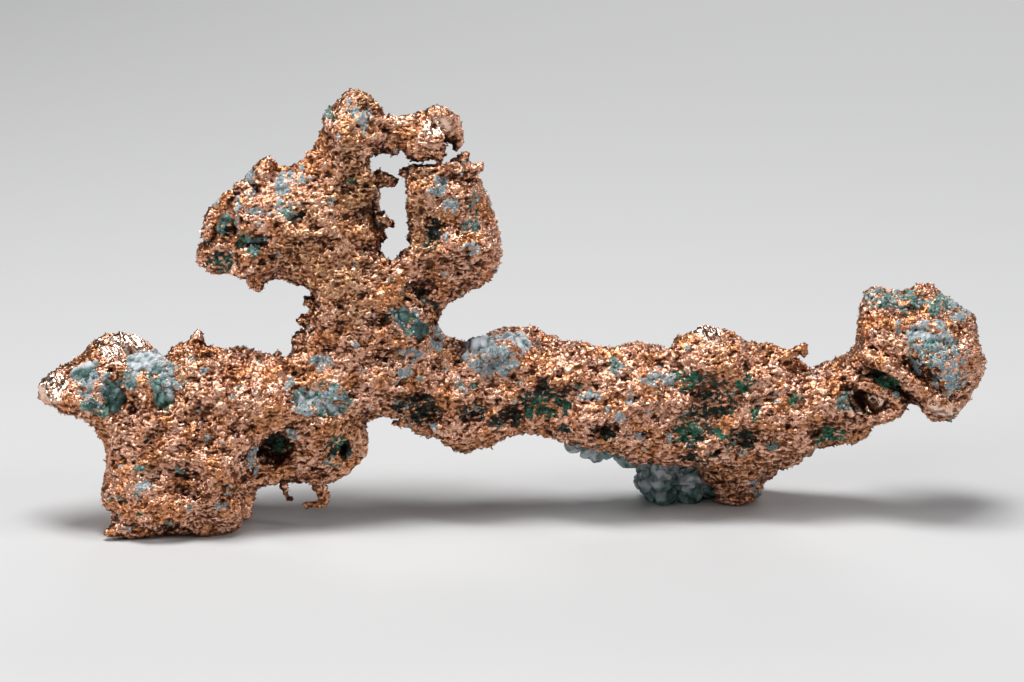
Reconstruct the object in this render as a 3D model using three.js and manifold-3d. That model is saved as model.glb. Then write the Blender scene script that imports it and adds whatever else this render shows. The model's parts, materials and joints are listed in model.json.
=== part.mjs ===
// Native copper nugget: one branching mass of metal with eight grains of pale calcite seated in its hollows.
// Millimetres, +Z up. The nugget stands on its left block, its foot and the calcite behind the foot, all on z = 0,
// with its broad side facing -Y. The origin is on the ground under the middle of its bounding box.
import * as THREE from "three";
import { ImprovedNoise } from "three/addons/math/ImprovedNoise.js";
import { mergeVertices } from "three/addons/utils/BufferGeometryUtils.js";
import Module from "manifold-3d";

const wasm = await Module();
wasm.setup();

// Driving dimensions
const gridStep = 1.75; // spacing of the grid that the metal's skin is netted on
const grainStep = 1.25; // the same for the calcite grains
const filletRadius = 1.5; // how widely two lobes flow into each other
const pitFillet = 0.7; // how widely a pit's rim is rounded
const skinRelief = 0.75; // height of the broad swellings on the metal
const skinSpan = 5.4; // distance from one swelling to the next
const skinGrowth = 0.05; // how far the skin lies outside the lobes on average
const grainFillet = 0.8; // how widely two lumps of a grain flow into each other
const grainRelief = 0.3; // height of the swellings on a calcite grain
const grainSpan = 2.3;
const seatGap = 0.35; // clearance between a calcite grain and its seat in the metal
const outlineSteps = 6; // straight steps along each span of an outline
const groundSink = 0; // height at which the feet are worn flat
const fieldMargin = 4; // empty room around a shape's grid
const middleShift = [-0.83, -1.8, 0]; // from the lobes' coordinates to the nugget's own

const copperColour = new THREE.Color(0.78, 0.45, 0.33);
const calciteColour = new THREE.Color(0.66, 0.75, 0.76);
const stainedColour = new THREE.Color(0.36, 0.6, 0.53);

// The lobes of the metal. Each is a thick plate: its outline is x and z as seen from the front, depth is the y of
// its middle, half is half its thickness, and rim is how far in from the outline it reaches that thickness.
// lean and turn are how much y grows for each millimetre up and to the right.
const lobes = [
  {
    name: "block", depth: -1.6, half: 6.6, rim: 4.6, lean: 0.05, turn: 0.03,
    outline: [
      [-35.6, 17.5], [-34.3, 18.6], [-31.6, 19.8], [-29.8, 18.6], [-26.8, 18.0], [-23.8, 17.8], [-21.6, 16.4],
      [-21.6, 10], [-25.6, 5.8], [-26.1, 3.7], [-26, 0.4], [-28, -1.1], [-31, -1.7], [-33.6, -0.4], [-35.7, -1.5],
      [-39.4, -1.9], [-41.6, -1.4], [-41.2, 0], [-40.4, 0.8], [-41.3, 3.5], [-41.1, 6.4], [-41.4, 9.8],
      [-40.7, 12.6], [-38.6, 15.7],
    ],
  },
  {
    name: "snout", depth: -2.6, half: 4.1, rim: 3.4, lean: 0, turn: -0.1,
    outline: [
      [-37, 17], [-42, 17.7], [-44.3, 17.3], [-46.3, 16.2], [-48.1, 14.6], [-48.1, 13.3], [-46.1, 12.2],
      [-43.1, 11.8], [-40.7, 10.8], [-37, 12],
    ],
  },
  {
    name: "knob", depth: 0.4, half: 3.6, rim: 3, lean: 0.1, turn: 0.1,
    outline: [
      [-42.4, 17.8], [-41.5, 19.1], [-39.7, 19.8], [-37.9, 19.3], [-36.7, 17.4], [-37.6, 15], [-41.2, 15.4],
    ],
  },
  {
    name: "lower", depth: -0.8, half: 5.3, rim: 3.8, lean: 0, turn: 0.06,
    outline: [
      [-27.2, 13], [-26.8, 7.6], [-25.1, 5.3], [-23.7, 3.9], [-21.8, 4.4], [-19.8, 4.2], [-17.6, 5.2],
      [-15.6, 7.2], [-14.8, 9.5], [-14.7, 11.4], [-12.6, 12.6], [-12.7, 17], [-21.7, 17],
    ],
  },
  {
    name: "neck", depth: 0, half: 5.4, rim: 4.4, lean: 0.02, turn: 0.02,
    outline: [
      [-21.9, 16.3], [-22.1, 17.8], [-21, 19.1], [-20.8, 21.1], [-19.9, 22.7], [-19.6, 24.2], [-17.6, 26.8],
      [-11.6, 26.8], [-8.5, 23.6], [-7.2, 21.4], [-6.9, 18.3], [-6.2, 15.7], [-7.7, 12.6], [-12.8, 11.5],
      [-18.8, 12.6],
    ],
  },
  {
    name: "fin_left", depth: 0.6, half: 5.2, rim: 5.4, lean: 0.04, turn: -0.05,
    outline: [
      [-17, 36], [-21.5, 36.6], [-24.1, 37.6], [-25.8, 37], [-26.4, 35.9], [-28.3, 34.6], [-29.7, 32.5],
      [-31.2, 30.5], [-31.8, 28.7], [-31.2, 26.1], [-29.4, 24.8], [-27.3, 24.9], [-25.8, 23.6], [-24.1, 24.5],
      [-21.9, 25], [-20.2, 24.6], [-16.6, 25.4], [-16.2, 33.1],
    ],
  },
  {
    name: "mast", depth: 0, half: 4.2, rim: 3.4, lean: 0.03, turn: 0,
    outline: [
      [-20.5, 36.2], [-20.7, 37.8], [-19.3, 39.1], [-19, 42], [-17.1, 43.6], [-15.9, 44.5], [-14.5, 43.6],
      [-13.1, 41.7], [-13.2, 39.2], [-13.7, 37.6], [-12.5, 36.1], [-12, 35], [-12.7, 33.9], [-12.8, 31.9],
      [-12.2, 30.2], [-12.8, 28.3], [-11.6, 26.8], [-11.7, 22.9], [-19.7, 22.9], [-19.5, 33.2],
    ],
  },
  {
    name: "hook", depth: -0.6, half: 2.7, rim: 2, lean: 0, turn: -0.05,
    outline: [
      [-14.5, 42.9], [-12.5, 41.8], [-10, 42.2], [-7.8, 42.9], [-6.1, 42.4], [-4.8, 40.6], [-4.7, 38.6],
      [-6, 38.6], [-7.2, 37.6], [-9.1, 37.5], [-11.6, 37.8], [-13.7, 38.6], [-15, 38.3],
    ],
  },
  {
    name: "fin_right", depth: -0.4, half: 4.3, rim: 3.6, lean: -0.02, turn: 0.08,
    outline: [
      [-11.1, 37], [-8.6, 36.6], [-6.8, 36.7], [-5.2, 37.8], [-3.1, 36.5], [-2.4, 33.8], [-1, 31.3],
      [-0.5, 27.2], [-3, 24.6], [-6.6, 22.1], [-8.7, 23.9], [-11.6, 24.6], [-11.6, 27.4], [-10.4, 28.6],
      [-11.1, 31], [-10.6, 32.8], [-11.1, 35.3],
    ],
  },
  {
    name: "bar_left", depth: 1, half: 5.3, rim: 4.2, lean: 0.1, turn: 0.02,
    outline: [
      [-7.7, 16.5], [-5.6, 18.3], [-3.5, 19.3], [-0.5, 20], [2.8, 19.4], [6.5, 18.3], [8.3, 17.6], [12.3, 17.4],
      [12.4, 6.6], [8.4, 7.4], [5.6, 7.2], [2.8, 8.4], [0.3, 8.8], [-1.7, 7.6], [-4.9, 7.2], [-8.6, 7.9],
      [-12, 10.1], [-12.4, 12.3], [-9.7, 15.4],
    ],
  },
  {
    name: "bar_right", depth: 2.4, half: 5.7, rim: 4.4, lean: -0.12, turn: 0,
    outline: [
      [7.4, 17], [10.2, 17.5], [12.1, 18.3], [13.6, 17.5], [15, 16.6], [18.4, 17.4], [24.7, 17], [28.7, 17.2],
      [29.1, 16], [31.5, 15.4], [33.5, 15.9], [35.6, 14], [35.7, 8.4], [33.2, 7.1], [30.7, 5.2], [27.4, 5.3],
      [22.6, 4.6], [16.5, 5], [13, 5.2], [8.4, 7],
    ],
  },
  {
    name: "dome", depth: 1.2, half: 4.6, rim: 4, lean: 0, turn: 0,
    outline: [
      [15.4, 16.7], [16.5, 18.5], [18.3, 19.9], [21.5, 20.4], [23.5, 19.5], [24.8, 17.3], [23.9, 14.9],
      [17.4, 14.9],
    ],
  },
  {
    name: "foot", depth: 6.6, half: 4.4, rim: 3.2, lean: -0.42, turn: 0,
    outline: [
      [16.8, 8.5], [29.5, 8.5], [28.6, 5], [27.4, 2.6], [26.4, 0.8], [26.2, -1.8], [23, -2.4], [19.8, -1.8],
      [18.4, 1.9],
    ],
  },
  {
    name: "link", depth: 1.8, half: 3.9, rim: 3, lean: 0, turn: -0.04,
    outline: [
      [32, 15.9], [33.8, 16.6], [36, 16.8], [38.6, 14.3], [39.1, 11.3], [37.5, 9.3], [34.9, 7.6], [31.7, 7.8],
      [30.6, 12],
    ],
  },
  {
    name: "head", depth: 1.4, half: 6.4, rim: 5, lean: 0.04, turn: -0.03,
    outline: [
      [34, 18.5], [34.4, 21], [34.5, 23.4], [35.8, 24], [38.1, 22.8], [41.2, 24.6], [43.5, 23.4], [46.4, 21.6],
      [47.3, 19.1], [48.1, 17.2], [48, 14.9], [46.2, 13.3], [46.1, 10.6], [43.1, 9.8], [40.7, 11.4],
      [38.1, 13.4], [35.5, 15],
    ],
  },
];

// Hollows in the metal, each an ellipsoid: at is its centre and size its three half axes.
const pits = [
  { name: "gully_by_block", at: [-24.6, -6.6, 8.6], size: [1.9, 4, 1.8] },
  { name: "cave_in_lower_lobe", at: [-18.3, -7, 8], size: [2, 2.6, 1.5] },
  { name: "eye_in_fin", at: [-29.2, -4, 30.5], size: [1.5, 2.4, 1.2] },
  { name: "crease_in_fin", at: [-25.8, -5.6, 28.9], size: [2.6, 2, 0.9] },
  { name: "fissure_right_of_neck", at: [-8.3, -3.6, 24], size: [1, 4, 1.5] },
  { name: "hole_in_mast", at: [-16.7, -4.8, 34.6], size: [1.5, 2, 1.1] },
  { name: "grotto_under_bar", at: [2.6, -4.6, 10.8], size: [3.2, 2.6, 1.8] },
  { name: "notch_left_of_bar", at: [-9.4, -4.8, 10.9], size: [1.9, 2.6, 1.7] },
  { name: "hollow_in_bar", at: [19.4, -4.6, 12], size: [2.6, 1.8, 3] },
  { name: "socket_in_link", at: [34.7, -3.4, 12.3], size: [1.5, 2.4, 1.6] },
  { name: "gap_under_head", at: [38.7, -2.6, 12.1], size: [1.4, 3.4, 1.1] },
  { name: "basin_in_head", at: [40.9, -5.6, 19.6], size: [2.6, 1.8, 2] },
  { name: "back_of_block", at: [-33.5, 6.6, 9], size: [4, 2.2, 3.2] },
  { name: "back_of_fin", at: [-22, 6.6, 30], size: [3.2, 2.2, 2.6] },
  { name: "back_of_bar", at: [5, 7.4, 13.5], size: [4.2, 2.2, 2.4] },
  { name: "back_of_head", at: [41.5, 8.6, 17], size: [3, 2.4, 2.6] },
];

// The slot between the mast and the right of the fin. It runs up and out to the right, under the hook, and dips
// towards the back.
const slotOutline = [
  [-14, 38.6], [-12.9, 38.3], [-11.7, 37.8], [-9.2, 37.5], [-7.6, 37.6], [-6.4, 38.4], [-4.6, 39.2],
  [-2.4, 40.6], [-1.4, 39.6], [-3.2, 38.2], [-5.8, 37.2], [-8, 36.7], [-9.3, 36.6], [-11.3, 36.9],
  [-11.4, 35.2], [-10.9, 34.4], [-11, 33], [-11.4, 31], [-10.5, 29.2], [-10.6, 28.3], [-11.9, 27.4],
  [-13.1, 28.4], [-12.3, 30.2], [-13.2, 32.2], [-12.9, 34], [-12.1, 35.1], [-13, 36.2], [-13.9, 37.7],
];
const slotDip = 0.27; // how much lower the slot runs for each millimetre back
const slotLength = 24; // along y, past both faces of the fin

// The calcite grains. Each is a few lumps grown together and standing little proud of the metal: a lump is the x, y
// and z of its middle and its three half axes.
const grains = [
  {
    name: "calcite_snout", colour: stainedColour,
    lumps: [[-43.1, -4.9, 15.1, 2.3, 1.9, 1.7], [-41.2, -5.1, 14.2, 1.9, 1.9, 2.4], [-42.6, -4.6, 13.4, 1.7, 1.8, 1.3]],
  },
  {
    name: "calcite_shoulder", colour: calciteColour,
    lumps: [[-36.6, -5.2, 16.2, 2.0, 2.1, 1.7], [-35.4, -5.6, 14.9, 2.1, 1.9, 2.0], [-37.2, -5.2, 14.3, 1.4, 1.8, 1.5]],
  },
  {
    name: "calcite_lower_lobe", colour: calciteColour,
    lumps: [[-20.7, -4.6, 13.2, 2.2, 1.9, 1.5], [-18.3, -4.5, 12.5, 2.2, 1.8, 1.5], [-19.7, -4.6, 11.8, 1.6, 1.7, 1.2]],
  },
  {
    name: "calcite_neck", colour: stainedColour,
    lumps: [[-11.5, -3.7, 21.6, 2.0, 1.9, 1.5], [-9.9, -3.3, 20.9, 1.6, 1.8, 1.7]],
  },
  {
    name: "calcite_bar", colour: calciteColour,
    lumps: [[-3.6, -2.2, 16.8, 2.0, 2.0, 1.7], [-1.9, -2.6, 17.7, 2.2, 1.9, 1.5], [0.4, -1.9, 18.1, 1.7, 1.9, 1.2]],
  },
  {
    name: "calcite_head", colour: calciteColour,
    lumps: [[40.8, -3.1, 19.0, 2.3, 2.0, 1.9], [42.0, -3.2, 16.9, 2.1, 2.1, 2.2], [43.6, -2.9, 15.4, 1.6, 1.9, 1.8]],
  },
  {
    name: "calcite_under_bar", colour: calciteColour,
    lumps: [[7.4, 4.3, 7.4, 2.1, 2.3, 1.6], [10.0, 4.7, 6.5, 2.6, 2.5, 1.7], [12.6, 4.8, 6.0, 1.9, 2.1, 1.4]],
  },
  {
    name: "calcite_behind_foot", colour: calciteColour,
    lumps: [[15.2, 7.4, 2.7, 2.6, 2.9, 2.3], [17.6, 7.8, 1.8, 3.2, 3.3, 2.7], [20.2, 8.2, 3.0, 2.1, 2.6, 1.9]],
  },
];

const noise = new ImprovedNoise();

// A smooth wave of height 1 and the given span. shift keeps two shapes from getting the same wave.
function wave(x, y, z, span, shift) {
  return noise.noise(x / span + shift, y / span + 2.3 * shift, z / span - 1.7 * shift);
}

function smoothMin(a, b, radius) {
  const share = Math.max(radius - Math.abs(a - b), 0) / radius;
  return Math.min(a, b) - (share * share * radius) / 4;
}

// The points along a closed smooth line through an outline's corners.
function smoothOutline(corners) {
  const line = new THREE.CatmullRomCurve3(
    corners.map(([x, z]) => new THREE.Vector3(x, 0, z)), true, "centripetal",
  );
  return line.getPoints(corners.length * outlineSteps).slice(0, -1).map((p) => new THREE.Vector2(p.x, p.z));
}

// How far a point is from an outline: negative inside.
function outlineDistance(points, x, z) {
  let nearest = Infinity;
  let inside = false;
  for (let i = 0, j = points.length - 1; i < points.length; j = i, i += 1) {
    const a = points[i];
    const b = points[j];
    const alongX = b.x - a.x;
    const alongZ = b.y - a.y;
    const run = ((x - a.x) * alongX + (z - a.y) * alongZ) / (alongX * alongX + alongZ * alongZ);
    const share = Math.min(1, Math.max(0, run));
    nearest = Math.min(nearest, Math.hypot(x - a.x - share * alongX, z - a.y - share * alongZ));
    if (a.y > z !== b.y > z && x < a.x + ((z - a.y) * alongX) / alongZ) inside = !inside;
  }
  return inside ? -nearest : nearest;
}

function centreOf(points) {
  const box = new THREE.Box2().setFromPoints(points);
  return box.getCenter(new THREE.Vector2());
}

// A lobe's field: about the distance to its skin, negative inside, with a rounded rim.
function lobeField({ outline, depth, half, rim, lean, turn }) {
  const points = smoothOutline(outline);
  const centre = centreOf(points);
  const unit = Math.min(half, rim);
  return (x, y, z) => {
    const middle = depth + turn * (x - centre.x) + lean * (z - centre.y);
    const across = Math.max(0, 1 + outlineDistance(points, x, z) / rim);
    return (Math.hypot(across, (y - middle) / half) - 1) * unit;
  };
}

function ellipsoidField({ at, size }) {
  const unit = Math.min(...size);
  return (x, y, z) =>
    (Math.hypot((x - at[0]) / size[0], (y - at[1]) / size[1], (z - at[2]) / size[2]) - 1) * unit;
}

// A grain's field: its lumps run together, with a rough skin.
function grainField(grain, index) {
  const balls = grain.lumps.map(([x, y, z, a, b, c]) => ellipsoidField({ at: [x, y, z], size: [a, b, c] }));
  return (x, y, z) => {
    const near = balls.reduce((sum, ball) => smoothMin(sum, ball(x, y, z), grainFillet), 1e3);
    return near + grainRelief * wave(x, y, z, grainSpan, 7.1 + index);
  };
}

// The metal's field: the lobes run together, roughened, then hollowed by the pits.
function copperField() {
  const lobeFields = lobes.map(lobeField);
  const pitFields = pits.map(ellipsoidField);
  return (x, y, z) => {
    let value = lobeFields.reduce((sum, lobe) => smoothMin(sum, lobe(x, y, z), filletRadius), 1e3);
    value += skinRelief * (wave(x, y, z, skinSpan, 0.4) + 0.55 * wave(x, y, z, skinSpan / 2, 3.9)) - skinGrowth;
    pitFields.forEach((pit) => {
      value = -smoothMin(-value, pit(x, y, z), pitFillet);
    });
    return value;
  };
}

const cellCorners = [0, 1, 2, 3, 4, 5, 6, 7].map((c) => [c & 1, (c >> 1) & 1, c >> 2]);
const cellEdges = [
  [0, 1], [2, 3], [4, 5], [6, 7], [0, 2], [1, 3], [4, 6], [5, 7], [0, 4], [1, 5], [2, 6], [3, 7],
];

// Whether the chosen corners of a grid cell hang together along its edges.
function hangsTogether(chosen) {
  const reached = new Set(chosen.slice(0, 1));
  for (let pass = 0; pass < 7; pass += 1)
    cellEdges.forEach(([a, b]) => {
      if (!chosen.includes(a) || !chosen.includes(b)) return;
      if (reached.has(a) || reached.has(b)) reached.add(a).add(b);
    });
  return reached.size === chosen.length;
}

// For each way a cell's corners can be inside, one bit a corner: whether the skin runs through it in two sheets.
const isSplit = Array.from({ length: 256 }, (unused, bits) => {
  const all = [0, 1, 2, 3, 4, 5, 6, 7];
  return !hangsTogether(all.filter((c) => bits & (1 << c))) || !hangsTogether(all.filter((c) => !(bits & (1 << c))));
});

// Fills pinched cells a corner at a time, so that the skin passes through every cell in one sheet.
function fillPinches(values, [nx, ny, nz], offsets) {
  let filled = true;
  while (filled) {
    filled = false;
    for (let k = 0; k < nz - 1; k += 1)
      for (let j = 0; j < ny - 1; j += 1)
        for (let i = 0; i < nx - 1; i += 1) {
          const first = i + j * nx + k * nx * ny;
          const bits = offsets.reduce((sum, offset, c) => sum + (values[first + offset] < 0 ? 1 << c : 0), 0);
          if (!isSplit[bits]) continue;
          const outside = offsets.map((offset) => first + offset).filter((n) => values[n] > 0);
          const nearest = outside.reduce((best, n) => (values[n] < values[best] ? n : best));
          values[nearest] = -0.1;
          filled = true;
        }
  }
}

// Nets the skin of a field: one corner in each grid cell that the skin passes through, one face across each grid
// edge that it cuts, so its triangles stay even.
function netGeometry(field, box, step) {
  const low = box.min.clone().subScalar(fieldMargin);
  const counts = box.getSize(new THREE.Vector3()).addScalar(2 * fieldMargin).divideScalar(step).ceil().toArray();
  const [nx, ny, nz] = counts.map((count) => count + 1);
  const strides = [1, nx, nx * ny];
  const values = new Float32Array(nx * ny * nz);
  for (let k = 0, n = 0; k < nz; k += 1)
    for (let j = 0; j < ny; j += 1)
      for (let i = 0; i < nx; i += 1, n += 1)
        values[n] = field(low.x + i * step, low.y + j * step, low.z + k * step) || 1e-6;

  const offsets = cellCorners.map(([i, j, k]) => i + j * strides[1] + k * strides[2]);
  fillPinches(values, [nx, ny, nz], offsets);
  const cornerOfCell = new Int32Array(values.length).fill(-1);
  const positions = [];
  for (let k = 0; k < nz - 1; k += 1)
    for (let j = 0; j < ny - 1; j += 1)
      for (let i = 0; i < nx - 1; i += 1) {
        const first = i + j * strides[1] + k * strides[2];
        const sum = new THREE.Vector3();
        let cuts = 0;
        for (const [a, b] of cellEdges) {
          const va = values[first + offsets[a]];
          const vb = values[first + offsets[b]];
          if (va < 0 === vb < 0) continue;
          const start = new THREE.Vector3(...cellCorners[a]);
          sum.add(start.lerp(new THREE.Vector3(...cellCorners[b]), va / (va - vb)));
          cuts += 1;
        }
        if (!cuts) continue;
        cornerOfCell[first] = positions.length / 3;
        sum.divideScalar(cuts).add(new THREE.Vector3(i, j, k)).multiplyScalar(step).add(low);
        positions.push(sum.x, sum.y, sum.z);
      }

  const faces = [];
  for (let k = 1; k < nz - 1; k += 1)
    for (let j = 1; j < ny - 1; j += 1)
      for (let i = 1; i < nx - 1; i += 1) {
        const at = i + j * strides[1] + k * strides[2];
        for (let axis = 0; axis < 3; axis += 1) {
          if (values[at] < 0 === values[at + strides[axis]] < 0) continue;
          const u = strides[(axis + 1) % 3];
          const v = strides[(axis + 2) % 3];
          const ring = [at, at - u, at - u - v, at - v].map((cell) => cornerOfCell[cell]);
          if (values[at] > 0) ring.reverse();
          faces.push(ring[0], ring[1], ring[2], ring[0], ring[2], ring[3]);
        }
      }
  const geometry = new THREE.BufferGeometry();
  geometry.setAttribute("position", new THREE.Float32BufferAttribute(positions, 3));
  geometry.setIndex(faces);
  return geometry;
}

function solidOf(geometry) {
  const bare = geometry.clone();
  bare.deleteAttribute("normal");
  bare.deleteAttribute("uv");
  const merged = mergeVertices(bare, 1e-4);
  return new wasm.Manifold(
    new wasm.Mesh({
      numProp: 3,
      vertProperties: new Float32Array(merged.attributes.position.array),
      triVerts: new Uint32Array(merged.index.array),
    }),
  );
}

function geometryOf(solid) {
  const mesh = solid.getMesh();
  const geometry = new THREE.BufferGeometry();
  geometry.setAttribute("position", new THREE.BufferAttribute(mesh.vertProperties, 3));
  geometry.setIndex(new THREE.BufferAttribute(mesh.triVerts, 1));
  geometry.computeVertexNormals();
  return geometry;
}

// The largest single body of a solid, without crumbs that a cut has freed.
function largestBody(solid) {
  return solid.decompose().reduce((best, body) => (body.volume() > best.volume() ? body : best));
}

// A slab under the nugget that wears its feet flat.
function groundSlab() {
  const depth = 20;
  const slab = new THREE.BoxGeometry(160, 80, depth);
  slab.translate(0, 0, groundSink - depth / 2);
  return solidOf(slab);
}

// A cutter along y with the slot's outline, sheared so that it dips towards the back.
function slotCutter() {
  const shape = new THREE.Shape(smoothOutline(slotOutline));
  const cutter = new THREE.ExtrudeGeometry(shape, { depth: slotLength, bevelEnabled: false });
  cutter.rotateX(Math.PI / 2);
  cutter.translate(0, slotLength / 2, 0);
  cutter.applyMatrix4(new THREE.Matrix4().makeShear(0, 0, 0, -slotDip, 0, 0));
  return solidOf(cutter);
}

// A solid of one calcite grain, swollen by a clearance.
function grainSolid(grain, index, clearance) {
  const box = new THREE.Box3();
  grain.lumps.forEach(([x, y, z, a, b, c]) => {
    box.expandByPoint(new THREE.Vector3(x - a, y - b, z - c)).expandByPoint(new THREE.Vector3(x + a, y + b, z + c));
  });
  const field = grainField(grain, index);
  return solidOf(netGeometry((x, y, z) => field(x, y, z) - clearance, box, grainStep));
}

function buildCopper(ground) {
  const box = new THREE.Box3();
  lobes.forEach(({ outline, depth, half }) =>
    outline.forEach(([x, z]) => {
      box.expandByPoint(new THREE.Vector3(x, depth - half, z));
      box.expandByPoint(new THREE.Vector3(x, depth + half, z));
    }),
  );
  let solid = solidOf(netGeometry(copperField(), box, gridStep));
  solid = solid.subtract(slotCutter()).subtract(ground);
  grains.forEach((grain, index) => {
    solid = solid.subtract(grainSolid(grain, index, seatGap));
  });
  return geometryOf(largestBody(solid));
}

function buildGrain(grain, index, ground) {
  return geometryOf(largestBody(grainSolid(grain, index, 0).subtract(ground)));
}

function addPiece(group, name, geometry, colour, metalness, roughness) {
  const material = new THREE.MeshStandardMaterial({ color: colour, metalness, roughness });
  const mesh = new THREE.Mesh(geometry, material);
  mesh.name = name;
  group.add(mesh);
}

const nugget = new THREE.Group();
const ground = groundSlab();
addPiece(nugget, "copper", buildCopper(ground), copperColour, 1, 0.35);
grains.forEach((grain, index) => {
  addPiece(nugget, grain.name, buildGrain(grain, index, ground), grain.colour, 0, 0.6);
});

// The origin goes on the ground under the middle of the nugget.
nugget.position.set(...middleShift);

export default nugget;
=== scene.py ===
import json
import math

import bmesh
import bpy
import numpy as np
from mathutils import Matrix, Vector
from mathutils.bvhtree import BVHTree

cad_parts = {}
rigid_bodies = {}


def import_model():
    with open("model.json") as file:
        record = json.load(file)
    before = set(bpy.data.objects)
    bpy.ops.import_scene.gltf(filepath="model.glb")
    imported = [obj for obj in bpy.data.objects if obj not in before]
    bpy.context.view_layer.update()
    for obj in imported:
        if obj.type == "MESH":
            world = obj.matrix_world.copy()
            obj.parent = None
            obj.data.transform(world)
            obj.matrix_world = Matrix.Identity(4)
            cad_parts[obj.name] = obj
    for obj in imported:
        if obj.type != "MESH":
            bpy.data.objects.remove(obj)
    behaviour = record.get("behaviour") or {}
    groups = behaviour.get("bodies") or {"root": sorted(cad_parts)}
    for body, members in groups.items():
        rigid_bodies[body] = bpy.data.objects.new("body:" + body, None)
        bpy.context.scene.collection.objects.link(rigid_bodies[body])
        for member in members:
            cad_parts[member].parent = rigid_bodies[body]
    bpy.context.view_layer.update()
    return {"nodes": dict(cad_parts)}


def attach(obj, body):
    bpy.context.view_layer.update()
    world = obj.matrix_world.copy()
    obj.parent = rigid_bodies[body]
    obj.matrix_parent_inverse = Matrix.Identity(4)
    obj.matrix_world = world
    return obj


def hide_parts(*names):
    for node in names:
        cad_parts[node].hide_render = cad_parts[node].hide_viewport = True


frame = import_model()
mm = 0.001


def addToScene(name, data):
    thing = bpy.data.objects.new(name, data)
    bpy.context.scene.collection.objects.link(thing)
    return thing


def deleteThing(thing):
    mesh = thing.data
    bpy.data.objects.remove(thing)
    if mesh.users == 0:
        bpy.data.meshes.remove(mesh)


def evaluatedMesh(thing):
    graph = bpy.context.evaluated_depsgraph_get()
    return bpy.data.meshes.new_from_object(thing.evaluated_get(graph), depsgraph=graph)


# What one modifier makes of a mesh.
def modified(mesh, kind, **settings):
    thing = addToScene("shaping", mesh)
    step = thing.modifiers.new("step", kind)
    for key, value in settings.items():
        setattr(step, key, value)
    result = evaluatedMesh(thing)
    deleteThing(thing)
    return result


def remeshed(mesh, voxel):
    return modified(mesh, "REMESH", mode="VOXEL", voxel_size=voxel * mm)


def ironed(mesh, rounds):
    return modified(mesh, "SMOOTH", factor=0.5, iterations=rounds)


def carved(mesh, toolMesh):
    tool = addToScene("carvingTool", toolMesh)
    result = modified(mesh, "BOOLEAN", operation="DIFFERENCE", solver="EXACT", use_self=True, object=tool)
    deleteThing(tool)
    return result


def asMesh(shape, name):
    mesh = bpy.data.meshes.new(name)
    shape.to_mesh(mesh)
    shape.free()
    return mesh


def readPoints(mesh):
    flat = np.empty(len(mesh.vertices) * 3)
    mesh.vertices.foreach_get("co", flat)
    return flat.reshape(-1, 3) / mm


def readNormals(mesh):
    flat = np.empty(len(mesh.vertices) * 3)
    mesh.vertices.foreach_get("normal", flat)
    return flat.reshape(-1, 3)


def treeOf(mesh, points):
    return BVHTree.FromPolygons((points * mm).tolist(), [tuple(face.vertices) for face in mesh.polygons])


def writePoints(mesh, points):
    mesh.vertices.foreach_set("co", (points * mm).ravel())
    mesh.update()


def writeValues(mesh, name, values):
    layer = mesh.attributes.get(name) or mesh.attributes.new(name, "FLOAT", "POINT")
    layer.data.foreach_set("value", np.asarray(values, np.float32))


def smoothStep(low, high, values):
    share = np.clip((values - low) / (high - low), 0, 1)
    return share * share * (3 - 2 * share)


def shuffled(order, cell):
    return order[(order[(order[cell[:, 0] & 255] + cell[:, 1]) & 255] + cell[:, 2]) & 255]


# Smooth noise, about -1 to 1, with swellings one span apart.
def softNoise(points, span, seed):
    rng = np.random.default_rng(seed)
    order = rng.permutation(256)
    slopes = rng.normal(size=(256, 3))
    slopes /= np.linalg.norm(slopes, axis=1)[:, None]
    place = points / span + rng.uniform(0, 50, 3)
    cell = np.floor(place).astype(int)
    local = place - cell
    fade = local ** 3 * (local * (local * 6 - 15) + 10)
    total = np.zeros(len(points))
    for corner in np.ndindex(2, 2, 2):
        pick = shuffled(order, cell + corner)
        weight = np.prod(np.where(corner, fade, 1 - fade), axis=1)
        total += weight * np.einsum("ij,ij->i", slopes[pick], local - corner)
    return total * 1.7


def softShift(points, span, seeds):
    return np.stack([softNoise(points, span, seed) for seed in seeds], axis=1)


def ridgeNoise(points, span, seed):
    return 1 - 2.4 * np.abs(softNoise(points, span, seed))   # sharp crests, round valleys


# Cells one span across. Gives each point's height on its cell's slope, its distance from the cell's middle
# and its distance from the rim, in mm.
def cellNoise(points, span, seed):
    rng = np.random.default_rng(seed)
    order = rng.permutation(256)
    spots = rng.uniform(0, 1, size=(256, 3))
    slopes = rng.normal(size=(256, 3))
    slopes *= (rng.uniform(0.3, 1, 256) / np.linalg.norm(slopes, axis=1))[:, None]
    place = points / span + rng.uniform(0, 50, 3)
    cell = np.floor(place).astype(int)
    nearest = np.full(len(points), 9.0)
    second = np.full(len(points), 9.0)
    tilt = np.zeros(len(points))
    for step in np.ndindex(3, 3, 3):
        other = cell + step - 1
        pick = shuffled(order, other)
        away = place - other - spots[pick]
        distance = np.linalg.norm(away, axis=1)
        closer = distance < nearest
        second = np.where(closer, nearest, np.minimum(second, distance))
        tilt = np.where(closer, np.einsum("ij,ij->i", away, slopes[pick]), tilt)
        nearest = np.where(closer, distance, nearest)
    return tilt * span, nearest * span, (second - nearest) * span


# Degrees, mm and the lens in mm.
view = dict(target=(-0.83, -1.80, 18.7), elevation=15.0, distance=426.7, lens=150.0)


def placeCamera():
    lift = math.radians(view["elevation"])
    target = Vector(view["target"]) * mm
    offset = Vector((0, -math.cos(lift), math.sin(lift))) * view["distance"] * mm
    data = bpy.data.cameras.new("camera")
    data.lens = view["lens"]
    data.sensor_width = 36
    data.clip_start = 0.01
    data.clip_end = 20
    camera = addToScene("camera", data)
    camera.location = target + offset
    camera.rotation_euler = (-offset).to_track_quat("-Z", "Y").to_euler()
    bpy.context.scene.camera = camera
    bpy.context.scene.view_settings.view_transform = "Standard"


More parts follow.
